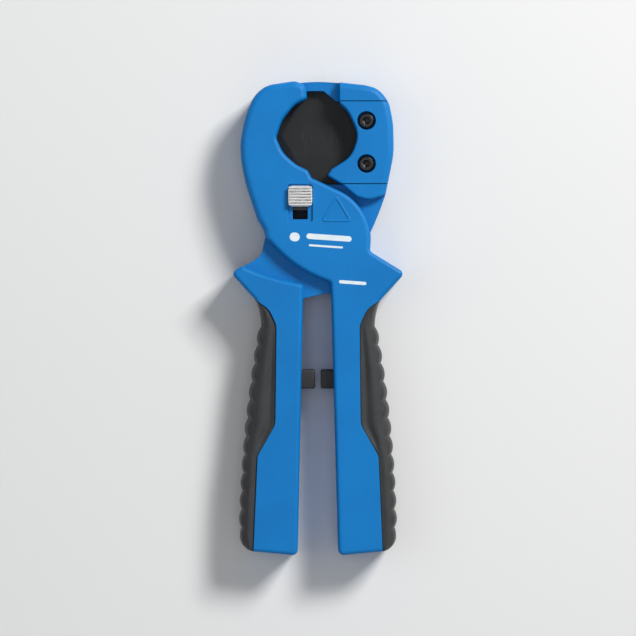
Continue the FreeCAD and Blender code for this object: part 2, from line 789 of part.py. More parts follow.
def rubber_stop(label, side):
    """A rubber block on a handle's inner face, with a stem that plugs into it."""
    body = new_body(label)
    if side > 0:
        inside, front, reach = (HANDLE[-1], HOOK_INNER_TOP), 1.2, 11.0
    else:
        inside, front, reach = (mirrored(HANDLE)[-1], ARM_INNER_TOP), -1.3, -11.5
    low, top = size("stop_y") - size("stop_high") / 2, size("stop_y") + size("stop_high") / 2
    corners = [
        (inner_side(inside, top), top, 0),
        (front, top, 1.2),
        (front, low, 1.2),
        (inner_side(inside, low), low, 0),
    ]
    pad(body, sketch(body, "plan", outline(corners), "dims.stop_low"), "dims.stop_deep")
    start = side * 6.5
    stem = round_sketch(body, "stem", [(size("stop_y"), MID)], "dims.stop_stem", str(start), "YZ_Plane")
    pad(body, stem, str(abs(reach - start)), side < 0)
    return body


# ------------------------------------------------------------------ pivot, spring, screws


def tube(label, outside, inside, low, length, centres):
    """Round tubes that share a node, standing on one height."""
    pieces = []
    for number, centre in enumerate(centres, start=1):
        body = new_body(f"{label}_{number}" if len(centres) > 1 else label)
        pad(body, round_sketch(body, "outside", [centre], outside, low), length)
        pocket(body, round_sketch(body, "inside", [centre], inside, low), length)
        pieces.append(body)
    return group(label, pieces) if len(pieces) > 1 else pieces[0]


def pivot_pin():
    """Hardened pin with a threaded end; it stands in both cheeks."""
    body = new_body("pivot_pin")
    centre = [(PIVOT.x, PIVOT.y)]
    low = "dims.pivot_sink_deep"
    pad(body, round_sketch(body, "outside", centre, "dims.pin", low), "dims.pin_top - dims.pivot_sink_deep")
    pocket(body, round_sketch(body, "thread", centre, "dims.pivot_thread", low), "8.2")
    return body


def pivot_screw():
    """Button-head screw that closes the fork on the pin."""
    seat = size("pivot_sink_deep") - size("pivot_washer")
    thread = size("pivot_thread") / 2
    profile = [(0, 0.2), (2.6, 0.2), (4.3, 0.8), (5, 1.9), (5, seat), (thread, seat), (thread, 11), (0, 11)]
    return turned("pivot_screw", profile, (PIVOT.x, PIVOT.y), (3.0, 0.2, 1.4))


def shell_screws():
    """Socket-head screws from the rear face into the inserts."""
    seat = size("shell_sink_deep")
    shank = size("shell_screw") / 2
    profile = [(0, 0.5), (2.2, 0.5), (2.8, 1.0), (2.8, seat), (shank, seat), (shank, 16.6), (1.1, 17), (0, 17)]
    places = enumerate(SHELL_SCREWS, start=1)
    return group("shell_screws", [turned(f"shell_screw_{n}", profile, at, (2.5, 0.5, 1.3)) for n, at in places])


def clamp_screws():
    """Socket-head screws from the front face through clamp and blade."""
    seat = TOP - size("jaw_step") - size("clamp_sink_deep")
    head = seat + 4.0
    shank = size("clamp_screw") / 2
    low = size("nut_floor") - size("nut_high")
    profile = [(0, head), (3.1, head), (3.5, head - 0.4), (3.5, seat), (shank, seat), (shank, low), (0, low)]
    key = (3.0, head - 2.4, 2.4)
    places = enumerate(CLAMP_SCREWS, start=1)
    return group("clamp_screws", [turned(f"clamp_screw_{n}", profile, at, key) for n, at in places])


def clamp_nuts():
    """Nuts held in the jaw's hexagonal pockets."""
    pieces = []
    low = "dims.nut_floor - dims.nut_high"
    for number, centre in enumerate(CLAMP_SCREWS, start=1):
        body = new_body(f"clamp_nut_{number}")
        pad(body, sketch(body, "plan", hexagon(centre, size("clamp_nut")), low), "dims.nut_high")
        pocket(body, round_sketch(body, "thread", [centre], "dims.clamp_screw", low), "dims.nut_high")
        pieces.append(body)
    return group("clamp_nuts", pieces)


def round_bar(name, centre, low, high, diameter):
    """A plain cylinder between two heights given as expressions."""
    made = doc.addObject("Part::Cylinder", name)
    made.setExpression("Radius", f"({diameter}) / 2")
    made.setExpression("Height", f"({high}) - ({low})")
    made.Placement.Base = xy(centre)
    made.setExpression("Placement.Base.z", low)
    return made


def return_spring():
    """Torsion spring round the bush: a coil and two legs that run along the axis."""
    start = math.radians(250)
    coil = doc.addObject("Part::Helix", "spring_line")
    coil.setExpression("Radius", "dims.spring_mean")
    coil.setExpression("Pitch", "dims.spring_pitch")
    coil.setExpression("Height", "dims.spring_pitch * dims.spring_turns")
    wire = doc.addObject("Part::Circle", "spring_section")
    wire.setExpression("Radius", "dims.spring_wire / 2")
    wire.Placement = Placement(Vector(size("spring_mean"), 0, 0), Rotation(Vector(1, 0, 0), 90))
    sweep = doc.addObject("Part::Sweep", "spring_coil")
    sweep.Sections = [wire]
    sweep.Spine = (coil, ["Edge1"])
    sweep.Solid = True
    sweep.Frenet = True
    sweep.Placement = Placement(PIVOT, Rotation(Vector(0, 0, 1), math.degrees(start)))
    sweep.setExpression("Placement.Base.z", "dims.spring_low")
    rise = "dims.spring_low + dims.spring_pitch * dims.spring_turns"
    wire_wide = "dims.spring_wire"
    legs = [
        round_bar("spring_leg_rear", SPRING_CHEEK_LEG, "dims.spring_leg_low", "dims.spring_low", wire_wide),
        round_bar("spring_leg_hub", SPRING_HUB_LEG, rise, "dims.spring_leg_top", wire_wide),
    ]
    knees = []
    for name, centre, height in (("rear", SPRING_CHEEK_LEG, "dims.spring_low"), ("hub", SPRING_HUB_LEG, rise)):
        knee = doc.addObject("Part::Sphere", f"spring_knee_{name}")
        knee.setExpression("Radius", "dims.spring_wire / 2")
        knee.Placement.Base = xy(centre)
        knee.setExpression("Placement.Base.z", height)
        knees.append(knee)
    whole = doc.addObject("Part::MultiFuse", "return_spring")
    whole.Label = "return_spring"
    whole.Shapes = [sweep] + legs + knees
    return whole


# ------------------------------------------------------------------ lock


def lock_button():
    """Thumb button with ridges across it, on a stem that fills the slot's width."""
    body = new_body("lock_button")
    half = size("button_wide") / 2
    top = BUTTON_LOW + size("button_tall")
    plan = box_outline(LOCK_X - half, LOCK_X + half, BUTTON_LOW, top, 1.6)
    pad(body, sketch(body, "plan", plan, "dims.button_base"), "dims.button_top - dims.button_base")
    dressed(body, "Fillet", "crown", lambda box, middle: level(box, size("button_top")), "1.1")
    count = 6
    first = (BUTTON_LOW + top - size("ridge_pitch") * (count - 1)) / 2
    width = size("ridge_groove") / 2
    grooves = []
    for index in range(count):
        at = first + index * size("ridge_pitch")
        grooves += box_outline(LOCK_X - 8, LOCK_X + 8, at - width, at + width)
    cut = sketch(body, "grooves", grooves, "dims.button_top - dims.ridge_deep")
    pocket(body, cut, "dims.ridge_deep + 1")
    stem = box_outline(LOCK_X - 3.3, LOCK_X + 3.3, BUTTON_LOW + 0.4, BUTTON_LOW + 7.2, 0.5)
    low = "dims.slide_low + dims.slide_thick"
    pad(body, sketch(body, "stem", stem, low), "dims.button_base - dims.slide_low - dims.slide_thick + 0.5")
    hole = round_sketch(body, "screw_hole", [LOCK_SCREW], "2.5", low)
    pocket(body, hole, "2.8")
    return body


def lock_slide():
    """Steel plate under the front cheek that carries the lock pin."""
    body = new_body("lock_slide")
    plan = box_outline(LOCK_X - 5.2, LOCK_X + 5.2, BUTTON_LOW - 1.6, BUTTON_LOW + 8.0, 0.8)
    pad(body, sketch(body, "plan", plan, "dims.slide_low"), "dims.slide_thick")
    pocket(body, round_sketch(body, "screw_hole", [LOCK_SCREW], "2.5", "dims.slide_low"), "dims.slide_thick")
    pocket(body, round_sketch(body, "screw_sink", [LOCK_SCREW], "4.0", "dims.slide_low"), "0.8")
    pocket(body, round_sketch(body, "pin_hole", [LOCK_PIN], "3.0", "dims.slide_low"), "dims.slide_thick")
    return body


def lock_pin():
    """Pin riveted into the slide; it stands in the hub's pocket."""
    low = size("slide_low")
    top = low + size("slide_thick")
    profile = [(0, 14.4), (2.1, 14.4), (2.5, 14.8), (2.5, low), (1.5, low), (1.5, top), (0, top)]
    return turned("lock_pin", profile, LOCK_PIN)


def lock_screw():
    """Small screw that joins slide and button."""
    low = size("slide_low")
    profile = [(0, low), (2.0, low), (2.0, low + 0.8), (1.25, low + 0.8), (1.25, 22.6), (0, 22.6)]
    return turned("lock_screw", profile, LOCK_SCREW)


def lock_spring():
    """Bowed leaf beside the slide, which holds it at either end of its travel."""
    body = new_body("lock_spring")
    near_x, far_x = LOCK_X + 5.3, LOCK_X + 6.75
    low, middle, top = 46.1, 51.5, 56.9
    leaf = 0.4
    steps = [
        [(far_x, low)],
        [(near_x, middle), (far_x, top)],
        [(far_x + leaf, top)],
        [(near_x + leaf, middle), (far_x + leaf, low)],
    ]
    pad(body, sketch(body, "plan", path(steps), "dims.slide_low"), "1.4")
    return body


# ------------------------------------------------------------------ build and write

nodes = [
    front_shell(),
    rear_shell(),
    grip("grip_right", 1),
    rubber_stop("stop_right", 1),
    shell_screws(),
    tube("shell_inserts", "dims.insert", "dims.shell_screw", "dims.mid_plane", "dims.insert_long", SHELL_SCREWS),
    pivot_pin(),
    pivot_screw(),
    tube(
        "pivot_washer",
        "dims.pivot_sink - 0.6",
        "dims.pivot_thread",
        "dims.pivot_sink_deep - dims.pivot_washer",
        "dims.pivot_washer",
        [(PIVOT.x, PIVOT.y)],
    ),
    lock_button(),
    lock_slide(),
    lock_pin(),
    lock_screw(),
    lock_spring(),
    blade_lever(),
    blade(),
    blade_clamp(),
    clamp_screws(),
    clamp_nuts(),
    tube(
        "pivot_bush",
        "dims.bush",
        "dims.bush_bore",
        "dims.mid_plane - dims.hub_plate / 2",
        "dims.hub_plate",
        [(PIVOT.x, PIVOT.y)],
    ),
    grip("grip_left", -1),
    rubber_stop("stop_left", -1),
    return_spring(),
]
doc.recompute()

for thing in doc.Objects:
    if "Invalid" in thing.State or "Error" in thing.State:
        raise RuntimeError(f"{thing.Name} did not build: {thing.State}")
for node in nodes:
    if node.Shape.isNull() or not node.Shape.isValid():
        raise RuntimeError(f"{node.Label} has no valid shape")

os.makedirs("parts", exist_ok=True)
for node in nodes:
    node.Shape.exportStep(f"parts/{node.Label}.step")
    print(f"{node.Label}: {len(node.Shape.Solids)} solids, {node.Shape.Volume / 1000:.2f} cm3")
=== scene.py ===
"""Looks of the one-hand pipe cutter: finishes, soft grips, screws, button, light and camera.

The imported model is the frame: metres, X across the tool, Y towards the jaws and Z
up from the rear face.  Sizes below are millimetres until a mesh is made from them.
"""

import math

import bmesh
import bpy
from mathutils import Matrix, Vector


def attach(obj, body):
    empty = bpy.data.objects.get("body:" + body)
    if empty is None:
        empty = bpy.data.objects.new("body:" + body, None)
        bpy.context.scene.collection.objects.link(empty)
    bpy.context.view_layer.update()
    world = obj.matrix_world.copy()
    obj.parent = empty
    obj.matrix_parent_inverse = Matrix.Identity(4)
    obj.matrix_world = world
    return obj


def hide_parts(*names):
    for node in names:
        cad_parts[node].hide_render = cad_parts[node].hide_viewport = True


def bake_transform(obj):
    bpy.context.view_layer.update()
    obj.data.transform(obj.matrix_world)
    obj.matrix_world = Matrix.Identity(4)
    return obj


MM = 0.001

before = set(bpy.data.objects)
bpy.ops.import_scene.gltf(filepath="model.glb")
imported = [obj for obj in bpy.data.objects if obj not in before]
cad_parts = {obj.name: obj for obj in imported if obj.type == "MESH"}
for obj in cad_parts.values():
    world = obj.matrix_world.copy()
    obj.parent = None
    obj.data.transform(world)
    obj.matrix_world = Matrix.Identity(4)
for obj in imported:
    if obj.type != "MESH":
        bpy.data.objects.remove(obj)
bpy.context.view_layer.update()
scene = bpy.context.scene

MIDDLE = 12.0  # the plane where the two halves of the hook lever meet
FRONT = 24.0  # the front face
PIVOT_Y = 36.4


# ------------------------------------------------------------------ node trees


def add(tree, kind, inputs=None, **settings):
    """A new node with its settings and its inputs, which are values or other nodes' sockets."""
    made = tree.nodes.new(kind)
    for name, value in settings.items():
        setattr(made, name, value)
    for name, value in (inputs or {}).items():
        if isinstance(value, bpy.types.NodeSocket):
            tree.links.new(value, made.inputs[name])
        else:
            made.inputs[name].default_value = value
    return made


def maths(tree, operation, first, second=0.0, third=0.0, clamp=False):
    """One Math node's result."""
    terms = {0: first, 1: second, 2: third}
    return add(tree, "ShaderNodeMath", terms, operation=operation, use_clamp=clamp).outputs[0]


def between(tree, value, low, high, start=0.0, end=1.0):
    """A value eased from start at low to end at high."""
    made = add(
        tree,
        "ShaderNodeMapRange",
        {"Value": value, "From Min": low, "From Max": high, "To Min": start, "To Max": end},
        interpolation_type="SMOOTHSTEP",
    )
    return made.outputs["Result"]


def mixed(tree, factor, first, second):
    """Two colours mixed by a factor."""
    return add(tree, "ShaderNodeMix", {0: factor, 6: first, 7: second}, data_type="RGBA").outputs[2]


def layered(tree, cloud, dark, light, layers):
    """A body colour that clouds from dark to light, under layers of (mask, strength, colour)."""
    colour = mixed(tree, cloud, (*dark, 1), (*light, 1))
    for mask, strength, shade in layers:
        colour = mixed(tree, maths(tree, "MULTIPLY", mask, strength), colour, (*shade, 1))
    return colour


def summed(tree, start, terms):
    """A start value plus each (value, weight) in turn."""
    total = start
    for value, weight in terms:
        total = maths(tree, "MULTIPLY_ADD", value, weight, total)
    return total


def noise(tree, where, scale, detail=3.0, roughness=0.55):
    """A noise value from 0 to 1."""
    made = add(
        tree,
        "ShaderNodeTexNoise",
        {"Vector": where, "Scale": scale, "Detail": detail, "Roughness": roughness},
    )
    return made.outputs[0]


def stretched(tree, where, sizes, turn=0.0):
    """Coordinates stretched and turned about Z."""
    return add(
        tree,
        "ShaderNodeMapping",
        {"Vector": where, "Rotation": (0.0, 0.0, math.radians(turn)), "Scale": sizes},
    ).outputs[0]


def object_place(tree):
    """The point's place on the tool."""
    return tree.nodes.new("ShaderNodeTexCoord").outputs["Object"]


def surface_facing(tree):
    """The direction that the bare surface faces."""
    return tree.nodes.new("ShaderNodeNewGeometry").outputs["Normal"]


def new_group(name, inputs, outputs):
    """An empty shader group with float inputs as {name: value} and outputs as {name: kind}."""
    tree = bpy.data.node_groups.new(name, "ShaderNodeTree")
    for label, value in inputs.items():
        socket = tree.interface.new_socket(label, in_out="INPUT", socket_type="NodeSocketFloat")
        socket.default_value = value
    for label, kind in outputs.items():
        tree.interface.new_socket(label, in_out="OUTPUT", socket_type=kind)
    given = tree.nodes.new("NodeGroupInput")
    out = tree.nodes.new("NodeGroupOutput")
    return tree, given.outputs, out.inputs


# ------------------------------------------------------------------ effects that finishes share

SCUFF_TURNS = ((24.0, 0.0), (-58.0, 0.31), (81.0, 0.77))  # a scuff's direction and its shift


def make_grain_group():
    """Fine spark-eroded texture of a mould: rounded pits over a finer haze."""
    tree, given, out = new_group(
        "Moulded grain",
        {"Size": 0.4, "Haze": 0.4},
        {"Height": "NodeSocketFloat", "Pits": "NodeSocketFloat"},
    )
    where = object_place(tree)
    scale = maths(tree, "DIVIDE", 1 / MM, given["Size"])
    cells = add(tree, "ShaderNodeTexVoronoi", {"Vector": where, "Scale": scale}, feature="SMOOTH_F1")
    pits = between(tree, cells.outputs["Distance"], 0.05, 0.75)
    haze = noise(tree, where, maths(tree, "MULTIPLY", scale, 2.3), 2.0)
    height = maths(tree, "MULTIPLY_ADD", haze, given["Haze"], pits)
    tree.links.new(height, out["Height"])
    tree.links.new(pits, out["Pits"])
    return tree


def make_edge_group():
    """Where an edge is rounded: a mask that finishes paint as edge wear, some also as a painted edge
    highlight, and a normal that rounds it.
    """
    tree, given, out = new_group(
        "Edge wear and highlight",
        {"Reach": 0.4, "Breakup": 0.5},
        {"Edge": "NodeSocketFloat", "Normal": "NodeSocketVector"},
    )
    reach = maths(tree, "MULTIPLY", given["Reach"], MM)
    soft = add(tree, "ShaderNodeBevel", {"Radius": reach}, samples=6).outputs[0]
    turned = add(
        tree, "ShaderNodeVectorMath", {0: soft, 1: surface_facing(tree)}, operation="DOT_PRODUCT"
    )
    edge = between(tree, turned.outputs["Value"], 0.995, 0.86)
    patchy = between(tree, noise(tree, object_place(tree), 420.0, 4.0), 0.32, 0.62)
    keep = maths(tree, "SUBTRACT", 1.0, given["Breakup"])
    patchy = maths(tree, "MULTIPLY_ADD", patchy, given["Breakup"], keep)
    tree.links.new(maths(tree, "MULTIPLY", edge, patchy, clamp=True), out["Edge"])
    tree.links.new(soft, out["Normal"])
    return tree


def make_handling_group():
    """What use leaves behind, cloudy patches and fine scuffs, and a specked corner mask that lighter
    finishes paint as dust and darker ones as painted corner shade.
    """
    tree, given, out = new_group(
        "Handling",
        {"Patch": 14.0, "Corner": 2.5},
        {"Cloud": "NodeSocketFloat", "Scuff": "NodeSocketFloat", "Dust and shade": "NodeSocketFloat"},
    )
    where = object_place(tree)
    scale = maths(tree, "DIVIDE", 1 / MM, given["Patch"])
    cloud = between(tree, noise(tree, where, scale, 4.0, 0.5), 0.3, 0.7)
    lines = 0.0
    for turn, shift in SCUFF_TURNS:
        shifted = add(tree, "ShaderNodeVectorMath", {0: where, 1: (shift, shift, 0.0)}).outputs[0]
        along = stretched(tree, shifted, (1.0, 0.035, 0.35), turn)
        line = between(tree, noise(tree, along, 2600.0, 1.0), 0.69, 0.78)
        lines = maths(tree, "MAXIMUM", lines, line)
    worn = between(tree, noise(tree, where, 60.0, 2.0), 0.42, 0.66)
    corner = maths(tree, "MULTIPLY", given["Corner"], MM)
    # a specked ambient-occlusion mask for corners: dust on light finishes, painted corner shade on
    # dark ones
    open_sky = add(tree, "ShaderNodeAmbientOcclusion", {"Distance": corner}, samples=6)
    shut = between(tree, open_sky.outputs["AO"], 0.75, 0.2)
    specks = between(tree, noise(tree, where, 900.0, 5.0, 0.7), 0.35, 0.65)
    tree.links.new(cloud, out["Cloud"])
    tree.links.new(maths(tree, "MULTIPLY", lines, worn), out["Scuff"])
    tree.links.new(maths(tree, "MULTIPLY", shut, specks), out["Dust and shade"])
    return tree


GRAIN = make_grain_group()
EDGES = make_edge_group()
HANDLING = make_handling_group()


def use(tree, group, **values):
    """A shader group placed in a material; returns its outputs."""
    made = tree.nodes.new("ShaderNodeGroup")
    made.node_tree = group
    for name, value in values.items():
        made.inputs[name].default_value = value
    return made.outputs


def split_line(tree):
    """A mask for the thin line where the mould's halves met, on upright faces only."""
    height = add(tree, "ShaderNodeSeparateXYZ", {0: object_place(tree)}).outputs["Z"]
    off = maths(tree, "ABSOLUTE", maths(tree, "SUBTRACT", height, MIDDLE * MM))
    line = between(tree, off, 0.14 * MM, 0.05 * MM)
    up = add(tree, "ShaderNodeSeparateXYZ", {0: surface_facing(tree)}).outputs["Z"]
    upright = between(tree, maths(tree, "ABSOLUTE", up), 0.6, 0.3)
    return maths(tree, "MULTIPLY", line, upright)


def painted_slot_shade(tree):
    """A mask for the hub's faces under the lock's slot, painted near black as painted shade deep in
    the slot.
    """
    hub = (0.0, -PIVOT_Y * MM, -MIDDLE * MM)
    from_hub = add(tree, "ShaderNodeVectorMath", {0: object_place(tree), 1: hub}, operation="ADD")
    x, y, z = add(tree, "ShaderNodeSeparateXYZ", {0: from_hub.outputs[0]}).outputs
    squares = maths(tree, "MULTIPLY_ADD", x, x, maths(tree, "MULTIPLY", y, y))
    ring = between(tree, maths(tree, "SQRT", squares), 22.0 * MM, 21.0 * MM)
    deep = between(tree, maths(tree, "ABSOLUTE", z), 7.2 * MM, 6.4 * MM)
    upper = between(tree, y, 1.0 * MM, 2.0 * MM)
    return maths(tree, "MULTIPLY", maths(tree, "MULTIPLY", ring, deep), upper)


# ------------------------------------------------------------------ finishes


def new_material(name, colour):
    """A material with its tree, its main shader and a plain colour for flat previews."""
    made = bpy.data.materials.new(name)
    made.use_nodes = True
    made.diffuse_color = (*colour, 1.0)
    return made, made.node_tree, made.node_tree.nodes["Principled BSDF"]


def finish_surface(tree, shader, colour, roughness, height, normal, depth):
    """Join colour, roughness and bump to the main shader; depth is in millimetres."""
    relief = {"Height": height, "Normal": normal, "Distance": depth * MM, "Strength": 1.0}
    bump = add(tree, "ShaderNodeBump", relief)
    tree.links.new(colour, shader.inputs["Base Color"])
    tree.links.new(roughness, shader.inputs["Roughness"])
    tree.links.new(bump.outputs[0], shader.inputs["Normal"])


def make_blue():
    """Glass-filled nylon, moulded with a fine satin texture."""
    made, tree, shader = new_material("blue_nylon", (0.0, 0.19, 0.56))
    grain = use(tree, GRAIN, Size=0.32, Haze=0.5)
    edges = use(tree, EDGES, Reach=0.45, Breakup=0.7)
    handling = use(tree, HANDLING, Patch=26.0, Corner=2.2)
    seam = split_line(tree)
    colour = layered(
        tree,
        handling["Cloud"],
        (0.0, 0.156, 0.465),
        (0.0, 0.178, 0.515),
        [
            (grain["Pits"], 0.14, (0.0, 0.235, 0.64)),
            # painted highlight on the rounded edges, partly edge wear: a lighter cyan blue
            (edges["Edge"], 0.42, (0.006, 0.36, 0.86)),
            (handling["Scuff"], 0.14, (0.04, 0.32, 0.74)),
            # painted shade: corners and recesses darkened to deep navy, specked like dust
            (handling["Dust and shade"], 0.40, (0.0, 0.050, 0.18)),
            (seam, 0.75, (0.0, 0.03, 0.12)),
            # painted shade: the hub under the lock's slot is painted near black so the slot looks
            # dark
            (painted_slot_shade(tree), 0.93, (0.006, 0.007, 0.009)),
        ],
    )
    wear = [(handling["Cloud"], 0.10), (handling["Scuff"], 0.14), (edges["Edge"], -0.08)]
    rough = summed(tree, 0.44, wear)
    height = summed(tree, grain["Height"], [(seam, -5.0), (handling["Scuff"], -0.5)])
    finish_surface(tree, shader, colour, rough, height, edges["Normal"], 0.016)
    shader.inputs["Specular IOR Level"].default_value = 0.24
    return made


def make_soft_grip():
    """Over-moulded soft rubber: dull, finely pebbled, dusty in its hollows."""
    made, tree, shader = new_material("soft_grip_rubber", (0.05, 0.05, 0.052))
    grain = use(tree, GRAIN, Size=0.55, Haze=0.35)
    edges = use(tree, EDGES, Reach=0.5, Breakup=0.5)
    handling = use(tree, HANDLING, Patch=11.0, Corner=1.6)
    colour = layered(
        tree,
        handling["Cloud"],
        (0.022, 0.023, 0.025),
        (0.031, 0.033, 0.035),
        [
            (grain["Pits"], 0.30, (0.052, 0.054, 0.057)),
            # painted highlight on edges and rib rims, partly wear: a lighter grey
            (edges["Edge"], 0.50, (0.17, 0.175, 0.18)),
            (handling["Scuff"], 0.22, (0.12, 0.12, 0.125)),
            (handling["Dust and shade"], 0.25, (0.13, 0.125, 0.12)),
        ],
    )
    rough = summed(tree, 0.60, [(handling["Cloud"], 0.12), (edges["Edge"], -0.12)])
    finish_surface(tree, shader, colour, rough, grain["Height"], edges["Normal"], 0.035)
    shader.inputs["Specular IOR Level"].default_value = 0.38
    shader.inputs["Sheen Weight"].default_value = 0.12
    shader.inputs["Sheen Roughness"].default_value = 0.45
    return made


def make_stop_rubber():
    """Firm black rubber of the two stops."""
    made, tree, shader = new_material("stop_rubber", (0.018, 0.018, 0.019))
    grain = use(tree, GRAIN, Size=0.30, Haze=0.8)
    edges = use(tree, EDGES, Reach=0.5, Breakup=0.4)
    handling = use(tree, HANDLING, Patch=5.0, Corner=1.4)
    colour = layered(
        tree,
        handling["Cloud"],
        (0.009, 0.009, 0.010),
        (0.016, 0.016, 0.0175),
        [
            # painted highlight: the stop's rims are lightened as a lit rim, partly wear
            (edges["Edge"], 0.5, (0.10, 0.10, 0.105)),
            (handling["Dust and shade"], 0.3, (0.11, 0.105, 0.10)),
        ],
    )
    rough = summed(tree, 0.48, [(handling["Cloud"], 0.14)])
    finish_surface(tree, shader, colour, rough, grain["Height"], edges["Normal"], 0.018)
    return made


def make_blade_coat():
    """Dark non-stick coat over ground steel, rubbed thin along the cutting edges."""
    made, tree, shader = new_material("blade_coat", (0.03, 0.032, 0.034))
    edges = use(tree, EDGES, Reach=0.30, Breakup=0.55)
    handling = use(tree, HANDLING, Patch=17.0, Corner=1.5)
    ground = stretched(tree, object_place(tree), (0.03, 1.0, 0.03), 8.0)
    brushed = noise(tree, ground, 5200.0, 2.0)
    rubbed = maths(tree, "MULTIPLY", handling["Scuff"], 0.16)
    bare = maths(tree, "MAXIMUM", edges["Edge"], rubbed)
    colour = layered(
        tree,
        handling["Cloud"],
        (0.006, 0.0065, 0.007),
        (0.010, 0.0105, 0.011),
        [(brushed, 0.20, (0.018, 0.019, 0.020)), (bare, 0.6, (0.38, 0.38, 0.39))],
    )
    rough = summed(tree, 0.46, [(handling["Cloud"], 0.10), (bare, -0.14)])
    finish_surface(tree, shader, colour, rough, brushed, edges["Normal"], 0.006)
    tree.links.new(maths(tree, "MULTIPLY", bare, 0.8), shader.inputs["Metallic"])
    shader.inputs["Specular IOR Level"].default_value = 0.35
    return made


def make_metal(name, dark, light, roughness, worn, lines=(1.0, 0.03, 0.03)):
    """A bare or blackened metal with the lines of its working and edges rubbed bright."""
    made, tree, shader = new_material(name, light)
    edges = use(tree, EDGES, Reach=0.18, Breakup=0.45)
    handling = use(tree, HANDLING, Patch=6.0, Corner=1.2)
    brushed = noise(tree, stretched(tree, object_place(tree), lines), 4200.0, 3.0)
    colour = layered(
        tree,
        brushed,
        dark,
        light,
        [
            (handling["Cloud"], 0.25, dark),
            (edges["Edge"], 0.7, worn),
            # painted shade: corners darkened near black, specked like dust
            (handling["Dust and shade"], 0.7, (0.012, 0.012, 0.013)),
        ],
    )
    smooth, coarse = roughness
    rough = between(tree, brushed, 0.3, 0.7, smooth, coarse)
    rough = summed(tree, rough, [(handling["Dust and shade"], 0.25)])
    finish_surface(tree, shader, colour, rough, brushed, edges["Normal"], 0.007)
    shader.inputs["Metallic"].default_value = 1.0
    return made


def make_print():
    """White pad-printed ink, thin enough to show the plastic's grain."""
    made, tree, shader = new_material("white_ink", (0.85, 0.88, 0.9))
    grain = use(tree, GRAIN, Size=0.32, Haze=0.5)
    handling = use(tree, HANDLING, Patch=4.0, Corner=1.0)
    colour = layered(
        tree,
        handling["Cloud"],
        (0.70, 0.77, 0.82),
        (0.78, 0.84, 0.88),
        [(grain["Pits"], 0.22, (0.40, 0.62, 0.82))],
    )
    rough = summed(tree, 0.45, [(handling["Cloud"], 0.1)])
    finish_surface(tree, shader, colour, rough, grain["Height"], surface_facing(tree), 0.012)
    return made


def make_floor_finish():
    """Plain pale paper."""
    made, tree, shader = new_material("pale_paper", (0.8, 0.8, 0.8))
    soft = noise(tree, object_place(tree), 3.0, 2.0)
    colour = mixed(tree, soft, (0.74, 0.745, 0.75, 1), (0.78, 0.785, 0.79, 1))
    tree.links.new(colour, shader.inputs["Base Color"])
    shader.inputs["Roughness"].default_value = 0.8
    shader.inputs["Specular IOR Level"].default_value = 0.2
    return made


BLUE = make_blue()
SOFT_GRIP = make_soft_grip()
STOP_RUBBER = make_stop_rubber()
BLADE_COAT = make_blade_coat()
WHITE_INK = make_print()

# Each metal: its dark and light shades, its roughness from smooth to coarse, and its worn edge.
BLACK_STEEL = make_metal(
    "black_oxide_steel",
    (0.030, 0.030, 0.032),
    (0.065, 0.065, 0.068),
    (0.28, 0.46),
    (0.42, 0.42, 0.43),
)
BRIGHT_STEEL = make_metal(
    "ground_steel",
    (0.42, 0.43, 0.44),
    (0.60, 0.61, 0.62),
    (0.22, 0.38),
    (0.8, 0.8, 0.8),
)
BUTTON_METAL = make_metal(
    "brushed_stainless",
    (0.84, 0.84, 0.84),
    (0.97, 0.97, 0.96),
    (0.36, 0.52),
    (1.0, 1.0, 0.99),
    lines=(0.03, 1.0, 1.0),
)
SPRING_STEEL = make_metal(
    "drawn_spring_wire",
    (0.16, 0.16, 0.17),
    (0.34, 0.34, 0.35),
    (0.26, 0.42),
    (0.6, 0.6, 0.6),
)
BRASS = make_metal(
    "turned_brass",
    (0.42, 0.27, 0.07),
    (0.68, 0.46, 0.16),
    (0.22, 0.40),
    (0.85, 0.65, 0.3),
)
BRONZE = make_metal(
    "sintered_bronze",
    (0.24, 0.13, 0.06),
    (0.42, 0.25, 0.12),
    (0.34, 0.52),
    (0.6, 0.4, 0.22),
    lines=(1.0, 1.0, 1.0),
)

NODE_FINISH = {
    "hook_shell_front": BLUE,
    "hook_shell_rear": BLUE,
    "blade_lever": BLUE,
    "blade_clamp": BLUE,
    "grip_right": SOFT_GRIP,
    "grip_left": SOFT_GRIP,
    "stop_right": STOP_RUBBER,
    "stop_left": STOP_RUBBER,
    "blade": BLADE_COAT,
    "shell_screws": BLACK_STEEL,
    "clamp_screws": BLACK_STEEL,
    "pivot_screw": BLACK_STEEL,
    "clamp_nuts": BRIGHT_STEEL,
    "pivot_pin": BRIGHT_STEEL,
    "pivot_washer": BRIGHT_STEEL,
    "lock_slide": BLACK_STEEL,
    "lock_pin": BRIGHT_STEEL,
    "lock_screw": BRIGHT_STEEL,
    "lock_button": BUTTON_METAL,
    "return_spring": SPRING_STEEL,
    "lock_spring": SPRING_STEEL,
    "shell_inserts": BRASS,
    "pivot_bush": BRONZE,
}
for name, cad_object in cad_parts.items():
    for material_slot in cad_object.material_slots:
        material_slot.material = NODE_FINISH[name]


# ------------------------------------------------------------------ meshes


def shade_smooth(mesh, sharp):
    """Smooth shading, except at edges sharper than this angle in degrees."""
    mesh.polygons.foreach_set("use_smooth", [True] * len(mesh.polygons))
    mesh.set_sharp_from_angle(angle=math.radians(sharp))


def to_object(name, shape, material, sharp=32.0):
    """A finished mesh object from a bmesh in millimetres."""
    bmesh.ops.recalc_face_normals(shape, faces=shape.faces)
    bmesh.ops.scale(shape, vec=(MM, MM, MM), verts=shape.verts)
    mesh = bpy.data.meshes.new(name)
    shape.to_mesh(mesh)
    shape.free()
    mesh.materials.append(material)
    shade_smooth(mesh, sharp)
    made = bpy.data.objects.new(name, mesh)
    scene.collection.objects.link(made)
    return made


def join_rings(shape, first, second):
    """Four-sided faces all the way round between two rings of the same length."""
    for index in range(len(first)):
        after = (index + 1) % len(first)
        shape.faces.new((first[index], first[after], second[after], second[index]))


